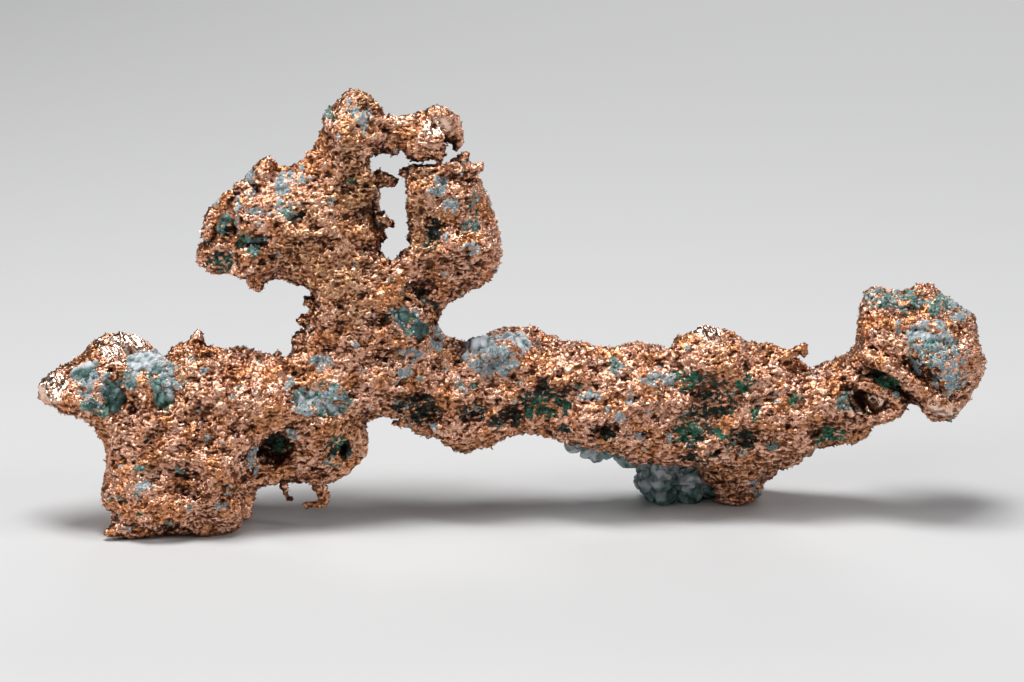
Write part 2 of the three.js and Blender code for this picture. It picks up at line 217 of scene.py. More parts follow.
studio = dict(
    floorSize=3000.0,
    floorColour=(0.60, 0.60, 0.60, 1),
    worldColour=(0.30, 0.32, 0.35, 1),
    worldStrength=0.12,
    lamps=[  # name, place in mm, size in mm, watts
        ("topBox", (-40, -60, 420), (220, 120), 1.75),
        ("leftBox", (-420, -160, 240), (100, 200), 1.0),
        ("rightBox", (430, -120, 220), (100, 240), 0.65),
        ("frontBox", (60, -520, 360), (160, 90), 0.15),
        ("backStrip", (120, 420, 180), (420, 60), 0.5),
    ],
)


def buildStudio():
    half = studio["floorSize"] * mm / 2
    mesh = bpy.data.meshes.new("floor")
    corners = [(-half, -half, 0), (half, -half, 0), (half, half, 0), (-half, half, 0)]
    mesh.from_pydata(corners, [], [(0, 1, 2, 3)])
    floor = addToScene("floor", mesh)
    paint = bpy.data.materials.new("palePaper")
    paint.use_nodes = True
    shader = paint.node_tree.nodes["Principled BSDF"]
    shader.inputs["Base Color"].default_value = studio["floorColour"]
    shader.inputs["Roughness"].default_value = 0.75
    mesh.materials.append(paint)
    world = bpy.data.worlds.new("studio")
    world.use_nodes = True
    backdrop = world.node_tree.nodes["Background"]
    backdrop.inputs["Color"].default_value = studio["worldColour"]
    backdrop.inputs["Strength"].default_value = studio["worldStrength"]
    bpy.context.scene.world = world
    aim = Vector((0, 0, 18)) * mm
    for name, place, size, watts in studio["lamps"]:
        data = bpy.data.lights.new(name, "AREA")
        data.shape = "RECTANGLE"
        data.size, data.size_y = size[0] * mm, size[1] * mm
        data.energy = watts
        lamp = addToScene(name, data)
        lamp.location = Vector(place) * mm
        lamp.rotation_euler = (aim - lamp.location).to_track_quat("-Z", "Y").to_euler()


placeCamera()
buildStudio()
print("camera, floor and lights are in place")


skin = dict(
    roughVoxel=0.5,       # mm, first net over the frame's solid
    middleVoxel=0.4,      # mm, net that carries the lumps, ledges and caves
    fineVoxel=0.135,      # mm, last net of each limb
    ironing=12,           # rounds of smoothing that take the frame's facets out
    plugSwell=0.4,        # mm that the plugs in the grains' seats bite into the metal
    inset=0.7,            # mm that the skin lies inside the frame's before it is roughened
    lumpHeight=0.75, lumpSpan=4.6,
    ledgeHeight=0.62, ledgeSpan=2.3,
    droop=0.5,            # how far ledges hang over, as a share of their height
    hackleHeight=0.22, hackleSpan=0.85,
    pitDepth=0.4, pitSpan=3.0,
    jagHeight=0.45, jagSpan=1.4, jagReach=1.2,      # teeth at the slots
    caveDepth=1.35,       # mm, the dark hollows
    crustDepth=0.4,       # mm, the beds of the crusts
    seatDepth=1.3,        # mm, the seats of the calcite grains
    foldHeight=0.1, foldSpan=0.6,
    crinkleHeight=0.08, crinkleSpan=0.28,
    facetHeight=0.75, facetSpan=0.36,   # this height is a slope
    pleatHeight=0.2, pleatSpan=0.75,    # long folds of the bright foil
    leanAside=0.1,        # mm that crests lean over
    floorReach=0.8,       # mm above the floor in which the roughness dies out downwards
    sink=0.5, overlap=0.7,              # mm, how limbs dive into each other at the forks
)

# The limbs between the main forks: lowest and highest x, then lowest and highest z, in mm.
limbs = dict(
    snout=(-60, -33, -5, 21.6),
    block=(-33, -22.5, -5, 21.6),
    hub=(-22.5, -8, -5, 21.6),
    fin=(-60, 10, 21.6, 32.4),
    crown=(-60, 10, 32.4, 60),
    arm=(-8, 13, -5, 21.6),
    foot=(13, 30.5, -5, 21.6),
    head=(30.5, 60, -5, 60),
)

# Wires, knobs and claws that stand off the lobes: each is a path of (x, y, z, radius) in mm.
spurs = [
    [(-21, -4, 5.6, 0.9), (-20.2, -4.1, 4.4, 0.75), (-19.7, -4.2, 3.3, 0.62), (-19.8, -4.2, 2.6, 0.5),
     (-20.6, -4.2, 2.3, 0.36), (-21.5, -4.3, 2.3, 0.34)],
    [(-23.7, -4.6, 4.6, 0.5), (-23.6, -4.8, 3.7, 0.3), (-23.2, -4.8, 3.2, 0.22)],
    [(-8.2, -2.6, 41.8, 1.3), (-7, -2.6, 41.4, 1.1), (-6.4, -2.6, 40.2, 0.8), (-6.1, -2.7, 39.3, 0.55),
     (-6.4, -2.8, 38.7, 0.36)],
    [(-10, -3.6, 39.9, 1), (-8.8, -3.9, 39, 0.8), (-8.1, -4, 38.2, 0.55), (-8, -4, 37.8, 0.4)],
    [(-38.4, -7.8, 1.6, 1.2), (-39.8, -8.4, 1.1, 0.9), (-41, -8.7, 0.8, 0.5)],
    [(-16.8, -3, 9.8, 1.6), (-16.3, -3.2, 8, 1.2), (-17.2, -3.2, 6.6, 0.9)],
    [(-34, -2.4, 17.2, 1.4), (-32.6, -2.6, 17.8, 1.3), (-32.2, -2.7, 18.9, 0.75), (-32.1, -2.7, 19.7, 0.4)],
    [(-32.4, -2.5, 17.6, 1.3), (-30.6, -2.6, 17.4, 1), (-29.6, -2.8, 17.6, 0.5)],
    [(-27.6, -3, 17, 0.8), (-27.4, -3.1, 17.9, 0.4)],
    [(-24.5, -3, 16.8, 0.7), (-24.2, -3.1, 17.8, 0.32)],
    [(25.6, -1.4, 16.6, 0.9), (27.2, -1.6, 17.3, 0.6), (28.3, -1.7, 18.1, 0.42), (28.4, -1.7, 17.4, 0.4)],
    [(-10.6, -3, 10.8, 0.8), (-11.9, -3.2, 10.6, 0.45), (-12.7, -3.2, 10.5, 0.25)],
    [(34.4, -3.8, 18, 0.7), (35.8, -4.7, 17.3, 0.9), (37.2, -5.3, 16.8, 0.9), (38.7, -5.7, 15.6, 0.9),
     (39.9, -5.7, 14.6, 1), (41.2, -5.6, 13.5, 1.1), (43.2, -5, 12.9, 0.8)],
    [(33.1, -3.4, 15, 0.7), (34.7, -3.8, 14.7, 0.8), (36.1, -4.1, 14.3, 0.9), (37.4, -4.4, 13.8, 0.9),
     (38, -4.2, 12.9, 0.8), (37.6, -3.8, 12, 0.8), (36.5, -3.4, 11.4, 0.8), (35, -3.2, 11, 0.8)],
    [(35.9, -1.4, 22.2, 1.1), (35.4, -1.5, 23.2, 0.6)],
    [(40.5, -1.4, 22.9, 1.2), (40.8, -1.5, 24, 0.65)],
    [(-20.6, -2, 22.6, 0.8), (-21.3, -2, 22.9, 0.5)],
    [(-21.2, -2.4, 21, 0.9), (-21.7, -2.5, 21, 0.6)],
    [(-21.6, -2.4, 18.8, 1), (-22.3, -2.5, 18.9, 0.5)],
    [(-19.6, -2.2, 37.4, 1), (-20.7, -2.3, 37.8, 0.5)],
    [(-13.9, -2.6, 35.5, 1), (-12.6, -2.8, 35.3, 0.6)],
    [(-10.6, -2.6, 36, 0.9), (-11.6, -2.7, 36.2, 0.5)],
    [(-6.2, -2.4, 36.9, 0.9), (-5.4, -2.4, 37.8, 0.5)],
    [(-5.2, -2.4, 36, 0.9), (-3.9, -2.4, 36.7, 0.42)],
    [(-26.8, -2.2, 34.2, 0.9), (-28, -2.3, 34.7, 0.45)],
    [(-25.2, -2, 35.8, 1.5), (-25, -2.1, 36.8, 0.9)],
    [(-41, -2.4, 17.6, 1.5), (-39.8, -2.6, 18.5, 1.4), (-38.2, -2.7, 18, 1.4), (-37, -2.8, 16.8, 1.2)],
    [(-28.8, -1.8, 33.2, 1), (-30.2, -1.8, 31.2, 1.3), (-30.8, -1.8, 29.8, 1.1)],
    [(-16.6, -2.2, 43.5, 1.1), (-15.4, -2.2, 43.1, 1.1), (-14.4, -2.2, 42, 1)],
    [(-46.4, -4.2, 14.4, 1.9), (-46.95, -4.2, 14, 1.3)],
    [(-19.4, -3.6, 5.6, 1.3), (-18.2, -3.4, 6, 1.2), (-17, -3.2, 7, 1.1)],
    [(-26.4, -2.6, 25.7, 1.1), (-26.2, -2.7, 24.6, 0.7)],
    [(-13.9, -2.8, 31.6, 0.7), (-12.8, -2.9, 31, 0.42)],
    [(-28.1, -5.2, 2.2, 1.5), (-27.8, -5, 4.6, 1.6), (-27.4, -4.4, 7.2, 1.5)],
    [(-28.3, -1.6, 2.2, 1.6), (-27.8, -1.4, 4.6, 1.7), (-27.4, -1.4, 7, 1.5)],
    [(-28.6, 2.2, 2.2, 1.5), (-28.2, 2, 4.6, 1.6), (-27.8, 1.8, 7, 1.4)],
]


# A chain of overlapping balls along a path.
def addChain(shape, path):
    for (x0, y0, z0, r0), (x1, y1, z1, r1) in zip(path, path[1:]):
        gap = math.dist((x0, y0, z0), (x1, y1, z1))
        steps = max(2, math.ceil(gap / (0.35 * min(r0, r1))))
        for i in range(steps + 1):
            share = i / steps
            place = Vector((x0, y0, z0)).lerp(Vector((x1, y1, z1)), share) * mm
            radius = (r0 + (r1 - r0) * share) * mm
            bmesh.ops.create_icosphere(shape, subdivisions=1, radius=radius, matrix=Matrix.Translation(place))


# Openings and notches carved along the line of sight: paths of (x, z, half width) in mm.
slots = [
    [(-13.9, 38.1, 0.4), (-12.6, 37.7, 0.6), (-10.8, 37.3, 0.5), (-8.6, 37.2, 0.5), (-7, 37.45, 0.6),
     (-5.4, 38.2, 0.9), (-4, 39.1, 1.4)],
    [(-12.4, 37.5, 0.8), (-11.9, 36.2, 0.75), (-11.5, 34.6, 0.75), (-11.8, 32.4, 0.9), (-11.6, 30.6, 0.85),
     (-11.8, 29.4, 0.9), (-11.6, 28.4, 0.6)],
    [(-13.7, 29.7, 0.3), (-12.6, 29.2, 0.5), (-11.6, 28.9, 0.6), (-10.4, 28.9, 0.4)],
    [(-6.7, 37.8, 0.7), (-7.2, 39.2, 0.6), (-7.7, 40.1, 0.4)],
    [(-6.6, 20.4, 1), (-6.8, 19, 0.4)],
    [(14.7, 19.4, 1.3), (15, 17.8, 0.4)],
    [(-28.6, 19.4, 1.1), (-25.8, 18.8, 1.2), (-23.8, 18.2, 1.2), (-22.6, 18.1, 1.1)],
]

# Where the slots begin and end in y, and how far they rise and drop there, in mm.
cutter = dict(front=-14, frontRise=3.0, back=12, backDrop=3.9)


def slotCutter():
    shape = bmesh.new()
    for path in slots:
        left, right = [], []
        for i, (x, z, half) in enumerate(path):
            xa, za, _ = path[max(0, i - 1)]
            xb, zb, _ = path[min(len(path) - 1, i + 1)]
            across = Vector((za - zb, xb - xa)).normalized() * half
            left.append((x + across.x, z + across.y))
            right.append((x - across.x, z - across.y))
        outline = left + right[::-1]
        ends = []
        for y, lift in ((cutter["front"], cutter["frontRise"]), (cutter["back"], -cutter["backDrop"])):
            ends.append([shape.verts.new((x * mm, y * mm, (z + lift) * mm)) for x, z in outline])
        front, back = ends
        shape.faces.new(front)
        shape.faces.new(back[::-1])
        for i in range(len(outline)):
            j = (i + 1) % len(outline)
            shape.faces.new((front[j], front[i], back[i], back[j]))
    bmesh.ops.recalc_face_normals(shape, faces=shape.faces)
    return asMesh(shape, "slotCutter")


# 1 at a slot's edge, 0 away from it.
def slotNearness(points):
    nearest = np.full(len(points), 9.0)
    for path in slots:
        for (xa, za, ra), (xb, zb, rb) in zip(path, path[1:]):
            along = np.array((xb - xa, zb - za))
            share = np.clip(((points[:, [0, 2]] - (xa, za)) @ along) / (along @ along), 0, 1)
            foot = np.array((xa, za)) + share[:, None] * along
            away = np.linalg.norm(points[:, [0, 2]] - foot, axis=1)
            nearest = np.minimum(nearest, away - ra - share * (rb - ra))
    return 1 - smoothStep(0, skin["jagReach"], nearest)


# What grows on the metal in front and behind: a list of (x, z, half width, half height) in mm for each kind.
# The dark kind is partly a dark crust and partly a painted shadow in the carved caves.
frontCrusts = dict(
    pale=[
        (-16.5, 42.7, 1, 1.1), (-15.4, 42, 1, 0.6), (-26.7, 35.5, 0.9, 0.9), (-23.3, 35.4, 1.3, 1.3),
        (-21.4, 35.8, 0.8, 0.5), (-26.6, 33.9, 0.5, 1.4), (-25.8, 31.3, 0.6, 0.6), (-24, 33.2, 0.7, 1),
        (-8.1, 35.1, 1, 0.8), (-6.9, 33.4, 0.9, 0.9), (-8.6, 19.3, 0.8, 1.8), (-10.7, 18.2, 1.6, 0.9),
        (-19.8, 17.5, 1.7, 1.1), (-5.5, 18.4, 1.3, 0.9), (0, 19.8, 2.4, 0.8), (-2.8, 17.6, 3, 1.9),
        (7.4, 13.9, 0.8, 0.5), (14.1, 15.2, 1.9, 0.8), (16.9, 17.8, 0.5, 0.5), (-37.6, 5.7, 0.9, 1),
        (-30, 3.4, 0.4, 0.4), (-26.5, 7.7, 0.55, 1.7), (24.5, 1, 0.6, 0.6), (43.8, 21.8, 1.8, 1.3),
        (38.6, 20.4, 1.6, 1), (40.7, 19.6, 2.8, 2.2), (42.6, 16.6, 2.2, 3), (-36.8, 17.2, 1.3, 1),
        (-35, 15.9, 1.7, 1.9), (-42.3, 15.6, 2.4, 1.7), (-21, 13.4, 1.6, 1), (-18.6, 14.2, 1.4, 1),
        (8.7, 12.6, 0.3, 0.35), (13.9, 13, 0.4, 0.7), (14.7, 9.2, 0.5, 0.4), (12.3, 15.3, 0.5, 0.4),
        (-9.5, 10.9, 0.5, 0.4), (-11.4, 12.1, 0.4, 0.6), (-11.4, 16.5, 0.6, 0.6), (22.7, 7, 0.5, 0.6),
        (23.5, 2.8, 0.5, 0.5), (25.2, 13.6, 0.35, 0.4), (-27.8, 32.8, 0.5, 1.2), (-25.8, 33.1, 0.5, 0.8),
        (-24.2, 32.1, 0.4, 0.5), (-28, 31.4, 0.4, 0.35), (-5.3, 29.3, 0.5, 0.7), (-4.2, 29.2, 0.6, 0.4),
        (-7.3, 30.4, 0.4, 0.4), (-15.3, 40.7, 0.7, 0.7), (-38.4, 8.5, 0.45, 0.4), (-32, 7.2, 0.3, 0.3),
        (-31, 10.6, 0.45, 0.3), (-29.7, 10.4, 0.4, 0.3), (-38.8, 1.4, 0.35, 0.3), (-22.5, 10.4, 0.4, 0.6),
        (-35.2, 9, 0.3, 0.35), (-28.6, 14.6, 0.35, 0.3), (9.6, 11.6, 0.8, 0.6), (12, 9.6, 0.7, 0.5),
        (11.2, 13.4, 0.5, 0.4), (13.2, 12.2, 0.6, 0.5), (-31.4, 17, 0.6, 0.6), (-23, 15.6, 0.7, 0.5),
    ],
    teal=[
        (38.6, 22.6, 2.6, 1.2), (41.6, 18.6, 2.2, 1.6), (41.8, 22.6, 1.6, 1), (35.8, 23, 1.6, 0.9),
        (39.6, 19.4, 1.4, 1.6), (43, 18.6, 0.8, 1.6), (-29.4, 31.2, 1, 0.9), (-25.9, 29.9, 2, 0.4),
        (-11, 21.6, 1.5, 1.5), (-12.4, 22.4, 1, 0.5), (-35, 14.4, 0.8, 0.7), (-38.1, 4.8, 0.4, 0.4),
        (-34.9, 1.8, 0.5, 0.4), (-33.8, 7.5, 0.4, 0.4), (-19.6, 13.9, 3.2, 1.9), (-5.1, 31.4, 1, 1.2),
        (-5.7, 36.6, 0.4, 0.3), (-38.9, 16.2, 0.9, 1.3), (-41.6, 13.4, 2, 1), (-35.8, 16.8, 1.4, 0.7),
        (9.7, 16.2, 0.8, 0.8), (-5.4, 15, 0.9, 0.5), (5.7, 14.7, 0.6, 0.3), (32.3, 12.8, 0.7, 1),
        (21, 8.4, 0.7, 0.5), (25.3, 8.1, 0.6, 0.9), (-22.9, 33, 0.9, 0.8), (-4.6, 33.9, 0.6, 0.6),
        (-18.6, 42, 0.7, 0.5), (-28.5, 28.6, 0.6, 0.4), (-26.4, 28.7, 1, 0.4), (-37.4, 7.8, 0.5, 0.45),
        (-39.8, 4.3, 0.9, 0.4), (-36.9, 10.8, 0.45, 0.4), (-29.1, 4.8, 0.5, 0.4), (-18.8, 7.2, 1.2, 0.6),
        (-33.2, 16.2, 0.4, 0.35),
    ],
    # Near-black patches in the carved caves: partly dark crust, partly painted shadow.
    dark=[
        (34.2, 13.4, 0.9, 0.8), (4.5, 10.1, 0.9, 0.5), (7.2, 10.2, 0.5, 0.5), (2.3, 15.3, 0.6, 0.8),
        (18, 6.9, 2.6, 0.5), (-10.7, 25.3, 0.6, 0.5), (-9.8, 24.4, 0.6, 0.6), (-9, 23.5, 0.6, 0.6),
        (-8.3, 22.6, 0.5, 0.6), (-21.9, 32.2, 0.7, 0.8), (-8.9, 30.4, 1.1, 1.6), (-26.6, 29.5, 1.9, 0.55),
        (-29.6, 27.4, 1.9, 1.5), (-29.3, 30.9, 1.3, 1.2), (-18.2, 8.6, 1.3, 1.6), (-24.3, 9, 1.6, 1.6),
        (-10.5, 12.2, 2.6, 1.7), (2.5, 13, 3, 1.9), (16.9, 15, 2.2, 1.5), (19.9, 13.3, 2.4, 2.4),
        (17.6, 10.2, 2.6, 2.2), (-4.6, 12.2, 1.8, 1.1), (-1.6, 11.2, 2.2, 1), (8.6, 10.4, 1.4, 0.8),
        (22.2, 8.8, 1.9, 1.3), (31.2, 9, 1.8, 1.3), (36.5, 15.6, 1.5, 0.9), (-8.4, 31.2, 0.7, 1.1),
        (-16.9, 35.3, 1.2, 0.6),
    ],
    emerald=[
        (21, 11.9, 0.6, 0.5), (23.5, 11.7, 0.5, 0.6), (27.6, 13, 1, 0.7), (-27.6, 29.7, 0.6, 0.3),
        (-37.8, 3.2, 0.5, 0.5), (-24, 8.8, 0.9, 0.7), (-18.4, 9.3, 0.8, 0.8), (2.7, 12.6, 2.2, 1.1),
        (-16.8, 35.3, 0.5, 0.4), (16.6, 15.2, 1.5, 1), (17.2, 10, 1.6, 1.2), (22.4, 14.9, 0.8, 1.2),
        (20.6, 9.6, 1.2, 0.7), (31.2, 9, 1.8, 1.1), (-34.6, 13.6, 0.5, 0.5), (36.6, 15.3, 1.6, 0.9),
        (-29.3, 27.2, 0.8, 0.7),
    ],
    foil=[
        (-39.5, 18.4, 2.6, 1.6), (-46.5, 14.9, 1.8, 1.6), (18.8, 19.4, 1.7, 0.8), (-8.2, 41.2, 1.5, 1.2),
        (34.6, 12.6, 2.2, 1.5), (42.3, 12.6, 1.8, 0.9),
    ],
)
backCrusts = dict(
    pale=[
        (-36, 12, 2.6, 1.6), (-28.4, 4.6, 1.3, 1), (-14.6, 20.6, 1.5, 2.2), (-26.8, 32.2, 1.6, 1.2),
        (-5.8, 31.2, 1.3, 2), (-2.6, 15.4, 2, 1.2), (20.6, 12.6, 2.4, 1.6), (41.2, 18.6, 2.6, 2),
    ],
    teal=[
        (-30.5, 15.2, 2, 1.4), (-17.4, 16.2, 2.2, 1.5), (-17.4, 38.8, 1.2, 1.6), (11.4, 14, 1.8, 1.2),
        (44, 15, 1.2, 1.6),
    ],
    # Near-black patches in the carved caves: partly dark crust, partly painted shadow.
    dark=[
        (-33.6, 8.4, 2.4, 1.8), (-22.4, 29.4, 2.4, 1.7), (4.2, 13, 2.8, 1.6), (40.6, 16.8, 1.8, 1.4),
    ],
    emerald=[
        (-33, 8, 1.4, 1), (-22, 29.2, 1.4, 0.9), (4.8, 12.6, 1.8, 1), (25.8, 10, 1.6, 1.2),
    ],
)
kinds = ("pale", "teal", "dark", "emerald", "foil")


# Finds where each crust's middle lies on the metal.
def settleCrusts(mesh):
    tree = treeOf(mesh, readPoints(mesh))
    settled = []
    for side, crusts in ((-1, frontCrusts), (1, backCrusts)):
        for kind, patches in crusts.items():
            for x, z, halfWidth, halfHeight in patches:
                hit = tree.ray_cast(Vector((x, 20 * side, z)) * mm, Vector((0, -side, 0)))[0]
                if hit is None:
                    print("no metal at the crust", kind, x, z)
                    continue
                halfDepth = 1.6 + 0.6 * halfWidth
                settled.append((kind, np.array(hit) / mm, (halfWidth, halfDepth, halfHeight)))
    return settled


# One value a kind for every point: how much of it covers the metal there.
def crustMasks(points, settled, ragged):
    warp = softShift(points, 1.5, (51, 52, 53)) * 0.6 * ragged
    warp += softShift(points, 0.6, (54, 55, 56)) * 0.3 * ragged
    masks = {kind: np.zeros(len(points)) for kind in kinds}
    for kind, middle, reach in settled:
        away = np.linalg.norm((points + warp - middle) / reach, axis=1)
        masks[kind] = np.maximum(masks[kind], 1 - smoothStep(0.7, 1.2, away))
    side, middle = cellNoise(points + 0.3 * warp, 2.4, 59)[:2]
    speck = 1 - smoothStep(0.15, 0.65, middle)      # lone grains between the crusts
    masks["pale"] = np.maximum(masks["pale"], speck * (side > 0))
    masks["teal"] = np.maximum(masks["teal"], speck * (side <= 0))
    gaps = smoothStep(-0.5, 0.1, softNoise(points, 0.9, 57) + 0.6 * softNoise(points, 0.45, 58))
    for kind in kinds[:4]:
        masks[kind] *= 1 - 0.7 * ragged * (1 - gaps)      # threads of metal run through the crusts
    return masks


# A copy with its doubles merged.
def cleanMesh(mesh, name):
    shape = bmesh.new()
    shape.from_mesh(mesh)
    bmesh.ops.remove_doubles(shape, verts=shape.verts, dist=0.002 * mm)
    return asMesh(shape, name)


grains = [name for name in sorted(frame["nodes"]) if name.startswith("calcite_")]
hanging = ("calcite_under_bar", "calcite_behind_foot")
seatedGrains = [name for name in grains if name not in hanging]
grainShift = dict(calcite_snout=1.2)      # mm to the right of the frame's grain


# The frame's metal with the seats of its grains filled in.
def filledMetal():
    shape = bmesh.new()
    shape.from_mesh(cleanMesh(frame["nodes"]["copper"].data, "metal"))
    for name in seatedGrains:
        plug = cleanMesh(frame["nodes"][name].data, "plug")
        writePoints(plug, readPoints(plug) + skin["plugSwell"] * readNormals(plug))
        shape.from_mesh(plug)
    return asMesh(shape, "filled")


# 1 over a calcite grain, 0 from about 1 mm outside it.
def grainCover(points):
    wobble = 1.0 * softNoise(points, 1.9, 61) + 0.6 * softNoise(points, 0.8, 62) + 0.1
    cover = np.zeros(len(points))
    for name in seatedGrains:
        mesh = frame["nodes"][name].data
        corners = readPoints(mesh) + (grainShift.get(name, 0), 0, 0)
        tree = treeOf(mesh, corners)
        near = np.all((points > corners.min(axis=0) - 2.5) & (points < corners.max(axis=0) + 2.5), axis=1)
        for i in np.flatnonzero(near):
            place = Vector(points[i]) * mm
            spot, normal, face, distance = tree.find_nearest(place)
            if (place - spot).dot(normal) < 0:
                distance = -distance
            cover[i] = max(cover[i], 1 - smoothStep(0.2, 0.8, distance / mm + wobble[i]))
    veins = smoothStep(0.35, 0.75, ridgeNoise(points, 2.6, 63))
    return cover * (1 - 0.85 * veins)      # veins of metal are left standing in the seats


def onFloor(points, shift, reach):
    shift[:, 2] *= smoothStep(0, reach, points[:, 2])      # what rests on the floor stays on it
    return shift


# The whole metal with its lumps, ledges, caves, slots and spurs, before the fine crumple.
def buildRoughSkin():
    mesh = ironed(remeshed(filledMetal(), skin["roughVoxel"]), skin["ironing"])
    settled = settleCrusts(mesh)

    points, normals = readPoints(mesh), readNormals(mesh)
    flat = points * (0.6, 0.6, 1.3)      # ledges are wider than tall
    heights = skin["lumpHeight"] * softNoise(points, skin["lumpSpan"], 11)
    heights += skin["ledgeHeight"] * (ridgeNoise(flat, skin["ledgeSpan"], 12) - 0.3)
    masks = crustMasks(points, settled, 0.6)
    heights -= skin["caveDepth"] * np.maximum(masks["dark"], 0.6 * masks["emerald"])
    heights -= skin["crustDepth"] * np.maximum(masks["pale"], masks["teal"])
    nearSlot = slotNearness(points)
    heights *= 1 - 0.5 * nearSlot
    heights -= skin["inset"] * (1 - 0.75 * nearSlot) + skin["seatDepth"] * grainCover(points)
    writePoints(mesh, points + onFloor(points, normals * heights[:, None], skin["floorReach"]))
    mesh = remeshed(carved(mesh, slotCutter()), skin["middleVoxel"])

    points, normals = readPoints(mesh), readNormals(mesh)
    bent = points * (0.65, 0.65, 1.3) + 0.4 * softShift(points, 2.0, (15, 16, 17))
    heights = skin["hackleHeight"] * (ridgeNoise(bent, skin["hackleSpan"], 13) - 0.3)
    pitMiddle = cellNoise(points * (0.8, 1, 1.35), skin["pitSpan"], 14)[1]
    heights -= skin["pitDepth"] * (1 - smoothStep(0.25, 0.8, pitMiddle))
    heights *= 1 - 0.75 * crustMasks(points, settled, 0.6)["foil"]
    heights += skin["jagHeight"] * slotNearness(points) * (ridgeNoise(points, skin["jagSpan"], 18) - 0.2)
    shift = normals * heights[:, None]
    shift[:, 2] -= skin["droop"] * np.maximum(heights, 0)
    writePoints(mesh, points + onFloor(points, shift, skin["floorReach"]))
    settled = settleCrusts(mesh)

    shape = bmesh.new()
    shape.from_mesh(mesh)
    for path in spurs:
        addChain(shape, path)
    shape.to_mesh(mesh)
    shape.free()
    return mesh, settled


# The part of a closed mesh inside a box, with flat lids where it was cut.
def cutOut(mesh, low, high):
    shape = bmesh.new()
    shape.from_mesh(mesh)
    for axis in (0, 2):
        for corner, sign in ((low, -1), (high, 1)):
            normal = Vector((0, 0, 0))
            normal[axis] = sign
            everything = shape.verts[:] + shape.edges[:] + shape.faces[:]
            place = Vector(corner) * mm
            bmesh.ops.bisect_plane(shape, geom=everything, plane_co=place, plane_no=normal, clear_outer=True)
            rim = [edge for edge in shape.edges if edge.is_boundary]
            if rim:
                bmesh.ops.holes_fill(shape, edges=rim, sides=0)
    return asMesh(shape, "cut")


# One limb with its fine crumple. Past a fork it dives under its neighbour's skin.
def buildLimb(rough, settled, bounds):
    left, right, bottom, top = bounds
    extra = skin["overlap"]
    cut = cutOut(rough, (left - extra, -40, bottom - extra), (right + extra, 40, top + extra))
    mesh = remeshed(cut, skin["fineVoxel"])
    points, normals = readPoints(mesh), readNormals(mesh)
    inner = np.minimum.reduce([points[:, 0] - left + extra, right + extra - points[:, 0],
                               points[:, 2] - bottom + extra, top + extra - points[:, 2]])
    dive = skin["sink"] * (1 - smoothStep(0.05, extra + 0.1, inner))

    masks = crustMasks(points, settled, 1.0)
    flat = points * (0.65, 0.65, 1.35)
    bent = flat + 0.25 * softShift(points, 0.9, (31, 32, 33))
    fold = ridgeNoise(bent, skin["foldSpan"], 21)
    crinkle = ridgeNoise(bent, skin["crinkleSpan"], 23)
    facet = cellNoise(bent, skin["facetSpan"], 22)[0]
    crumple = skin["foldHeight"] * (fold - 0.3) + skin["crinkleHeight"] * (crinkle - 0.3)
    crumple += skin["facetHeight"] * facet
    grit = 0.1 + 0.16 * ridgeNoise(points, 0.5, 25) + 0.1 * softNoise(points, 1.1, 24)
    crust = np.maximum(masks["pale"], masks["teal"])
    stretch = np.array([(1.0, 0.15, 0.1), (0.3, 0.3, 0.1), (0.3, 0.05, 0.2)])      # draws the pleats out
    pleats = ridgeNoise(points @ stretch, skin["pleatSpan"], 26)
    crumple = crumple * (1 - 0.75 * masks["foil"]) + skin["pleatHeight"] * masks["foil"] * pleats
    heights = crumple * (1 - 0.85 * crust) + grit * crust
    aside = softShift(points, 0.5, (34, 35, 36))
    aside *= (skin["leanAside"] * (1 - 0.8 * masks["foil"]))[:, None]
    shift = onFloor(points, normals * heights[:, None] + aside, skin["floorReach"] / 2)
    moved = points + shift - normals * dive[:, None]
    moved[:, 2] = np.maximum(moved[:, 2], 0.02)      # nothing goes through the floor
    writePoints(mesh, moved)
    # Crest is 1 on the crumple's crests and 0 in its valleys: the copper finish paints a highlight on the
    # crests and shade in the valleys from it.
    crest = smoothStep(-0.13, 0.17, crumple)
    writeValues(mesh, "crest", crest)
    for kind in kinds[:4]:
        writeValues(mesh, kind, masks[kind] * (1 - 0.6 * crest))
    writeValues(mesh, "foil", masks["foil"])
    writeValues(mesh, "bare", (1 - np.maximum(crust, masks["foil"])) * (0.2 + 0.8 * crest))
    palest = np.maximum(masks["pale"], 0.7 * masks["teal"])
    writeValues(mesh, "palePlace", palest * smoothStep(0.3, 0.7, crust))
    writeValues(mesh, "greenPlace", np.maximum(masks["emerald"], 0.5 * masks["teal"]))
    mesh.shade_smooth()
    return mesh


hollows = dict(
    reach=2.6,            # mm, how far a ray looks for metal
    start=0.3,            # mm outside the skin, where it sets out
    rays=8,
    quickRays=3,
    undersideShade=0.3,       # how much painted shade the undersides get, as light falls from above
    rounds=3,             # of evening out
)


